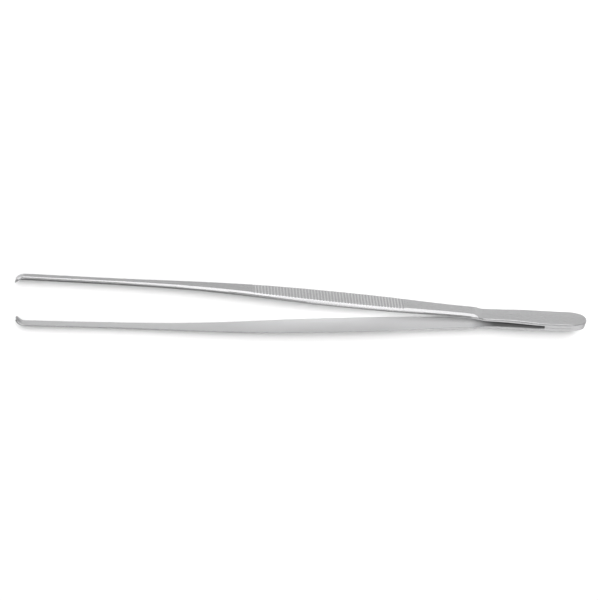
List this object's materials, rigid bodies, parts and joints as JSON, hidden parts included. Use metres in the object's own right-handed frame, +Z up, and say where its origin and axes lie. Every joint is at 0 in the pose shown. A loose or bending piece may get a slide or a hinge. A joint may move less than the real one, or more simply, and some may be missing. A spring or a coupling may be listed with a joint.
{
  "type": "thumb forceps",
  "caption": "Long toothed thumb forceps: two sprung steel leaves joined at a rounded heel, with ribbed grips, bevelled tapering arms and interlocking teeth at the tips.",
  "frame": {"origin": "on the surface the forceps lies on, below the middle of its length and midway between its two leaves", "axes": "+X along the forceps from the heel to the tips, +Z up across the width of the leaves, Y across the gap between the leaves, with the single-toothed leaf on the -Y side"},
  "size_m": [0.25, 0.0294, 0.0088],
  "materials": {
    "steel": "satin, with bright bevels"
  },
  "bodies": {
    "root": {"single_tooth_arm": "steel", "double_tooth_arm": "steel"}
  },
  "joints": []
}
